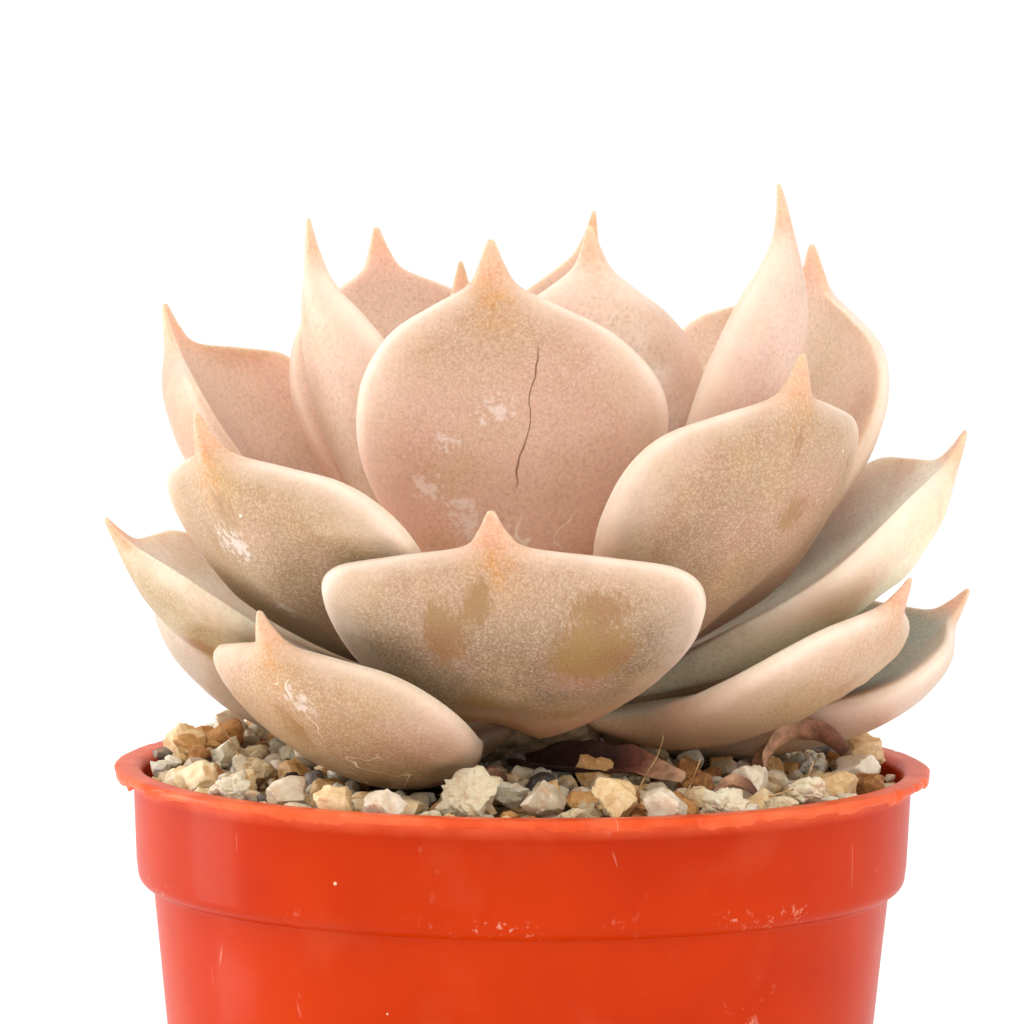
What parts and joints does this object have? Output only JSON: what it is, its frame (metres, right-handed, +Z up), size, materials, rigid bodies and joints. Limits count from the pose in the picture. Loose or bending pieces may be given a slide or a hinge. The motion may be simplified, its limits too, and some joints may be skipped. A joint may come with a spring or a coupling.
{
  "type": "potted succulent",
  "caption": "Rosette succulent with thick, cupped, sharp-tipped leaves, growing in gritty soil in a round tapered nursery pot with a banded rim.",
  "frame": {"origin": "centre of the pot's flat foot, on the surface it stands on", "axes": "+Z up along the pot's axis; -Y towards the side where the broad lowest leaf lies in front; +X to the right of that side"},
  "size_m": [0.0962, 0.0905, 0.1455],
  "materials": {
    "pot_plastic": "satin",
    "grit_soil": "matte",
    "stem_bark": "matte",
    "leaf_flesh": "satin",
    "dead_leaf": "matte",
    "quartz_grit": "matte"
  },
  "bodies": {
    "root": {"pot": "pot_plastic", "soil": "grit_soil", "stem": "stem_bark", "leaf_01": "leaf_flesh", "leaf_02": "leaf_flesh", "leaf_03": "leaf_flesh", "leaf_04": "leaf_flesh", "leaf_05": "leaf_flesh", "leaf_06": "leaf_flesh", "leaf_07": "leaf_flesh", "leaf_08": "leaf_flesh", "leaf_09": "leaf_flesh", "leaf_10": "leaf_flesh", "leaf_11": "leaf_flesh", "leaf_12": "leaf_flesh", "leaf_13": "leaf_flesh", "leaf_14": "leaf_flesh", "leaf_15": "leaf_flesh", "leaf_16": "leaf_flesh", "leaf_17": "leaf_flesh", "leaf_18": "leaf_flesh", "leaf_19": "leaf_flesh", "leaf_20": "leaf_flesh", "leaf_21": "leaf_flesh", "leaf_22": "leaf_flesh", "leaf_23": "leaf_flesh", "leaf_24": "leaf_flesh", "leaf_25": "leaf_flesh", "leaf_26": "leaf_flesh", "leaf_27": "leaf_flesh", "leaf_28": "leaf_flesh", "leaf_29": "leaf_flesh", "leaf_30": "leaf_flesh", "leaf_31": "leaf_flesh", "dead_leaf_front": "dead_leaf", "dead_leaf_right": "dead_leaf", "stone_01": "quartz_grit", "stone_02": "quartz_grit", "stone_03": "quartz_grit", "stone_04": "quartz_grit", "stone_05": "quartz_grit", "stone_06": "quartz_grit", "stone_07": "quartz_grit", "stone_08": "quartz_grit", "stone_09": "quartz_grit", "stone_10": "quartz_grit", "stone_11": "quartz_grit", "stone_12": "quartz_grit", "stone_13": "quartz_grit", "stone_14": "quartz_grit", "stone_15": "quartz_grit", "stone_16": "quartz_grit", "stone_17": "quartz_grit", "stone_18": "quartz_grit"}
  },
  "joints": []
}
